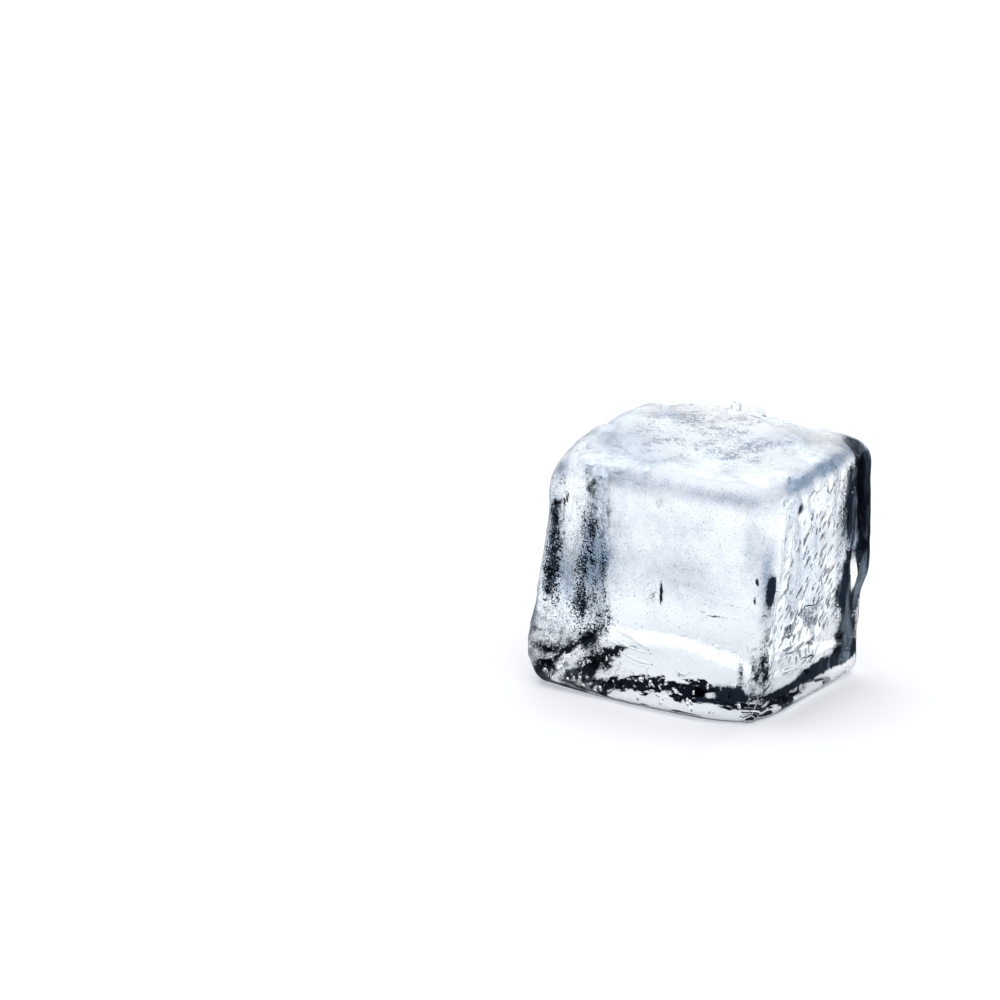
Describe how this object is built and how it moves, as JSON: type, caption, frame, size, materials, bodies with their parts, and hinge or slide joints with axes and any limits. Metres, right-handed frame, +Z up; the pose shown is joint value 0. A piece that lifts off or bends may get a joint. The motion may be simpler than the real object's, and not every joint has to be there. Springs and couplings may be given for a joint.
{
  "type": "ice block",
  "caption": "Clear block of part-melted ice: a lopsided cube with soft edges, worn runnels, a swollen foot and a frosted top, resting on one flat side.",
  "frame": {"origin": "middle of the flat foot, at the height of the surface that the block rests on", "axes": "+Z up out of the foot; +X along the broad front, to the right as it is seen; the broad front faces -Y"},
  "size_m": [0.037, 0.0284, 0.0343],
  "materials": {
    "clear_ice": "clear, wet and glossy, frosted on top"
  },
  "bodies": {
    "root": {"ice_block": "clear_ice"}
  },
  "joints": []
}
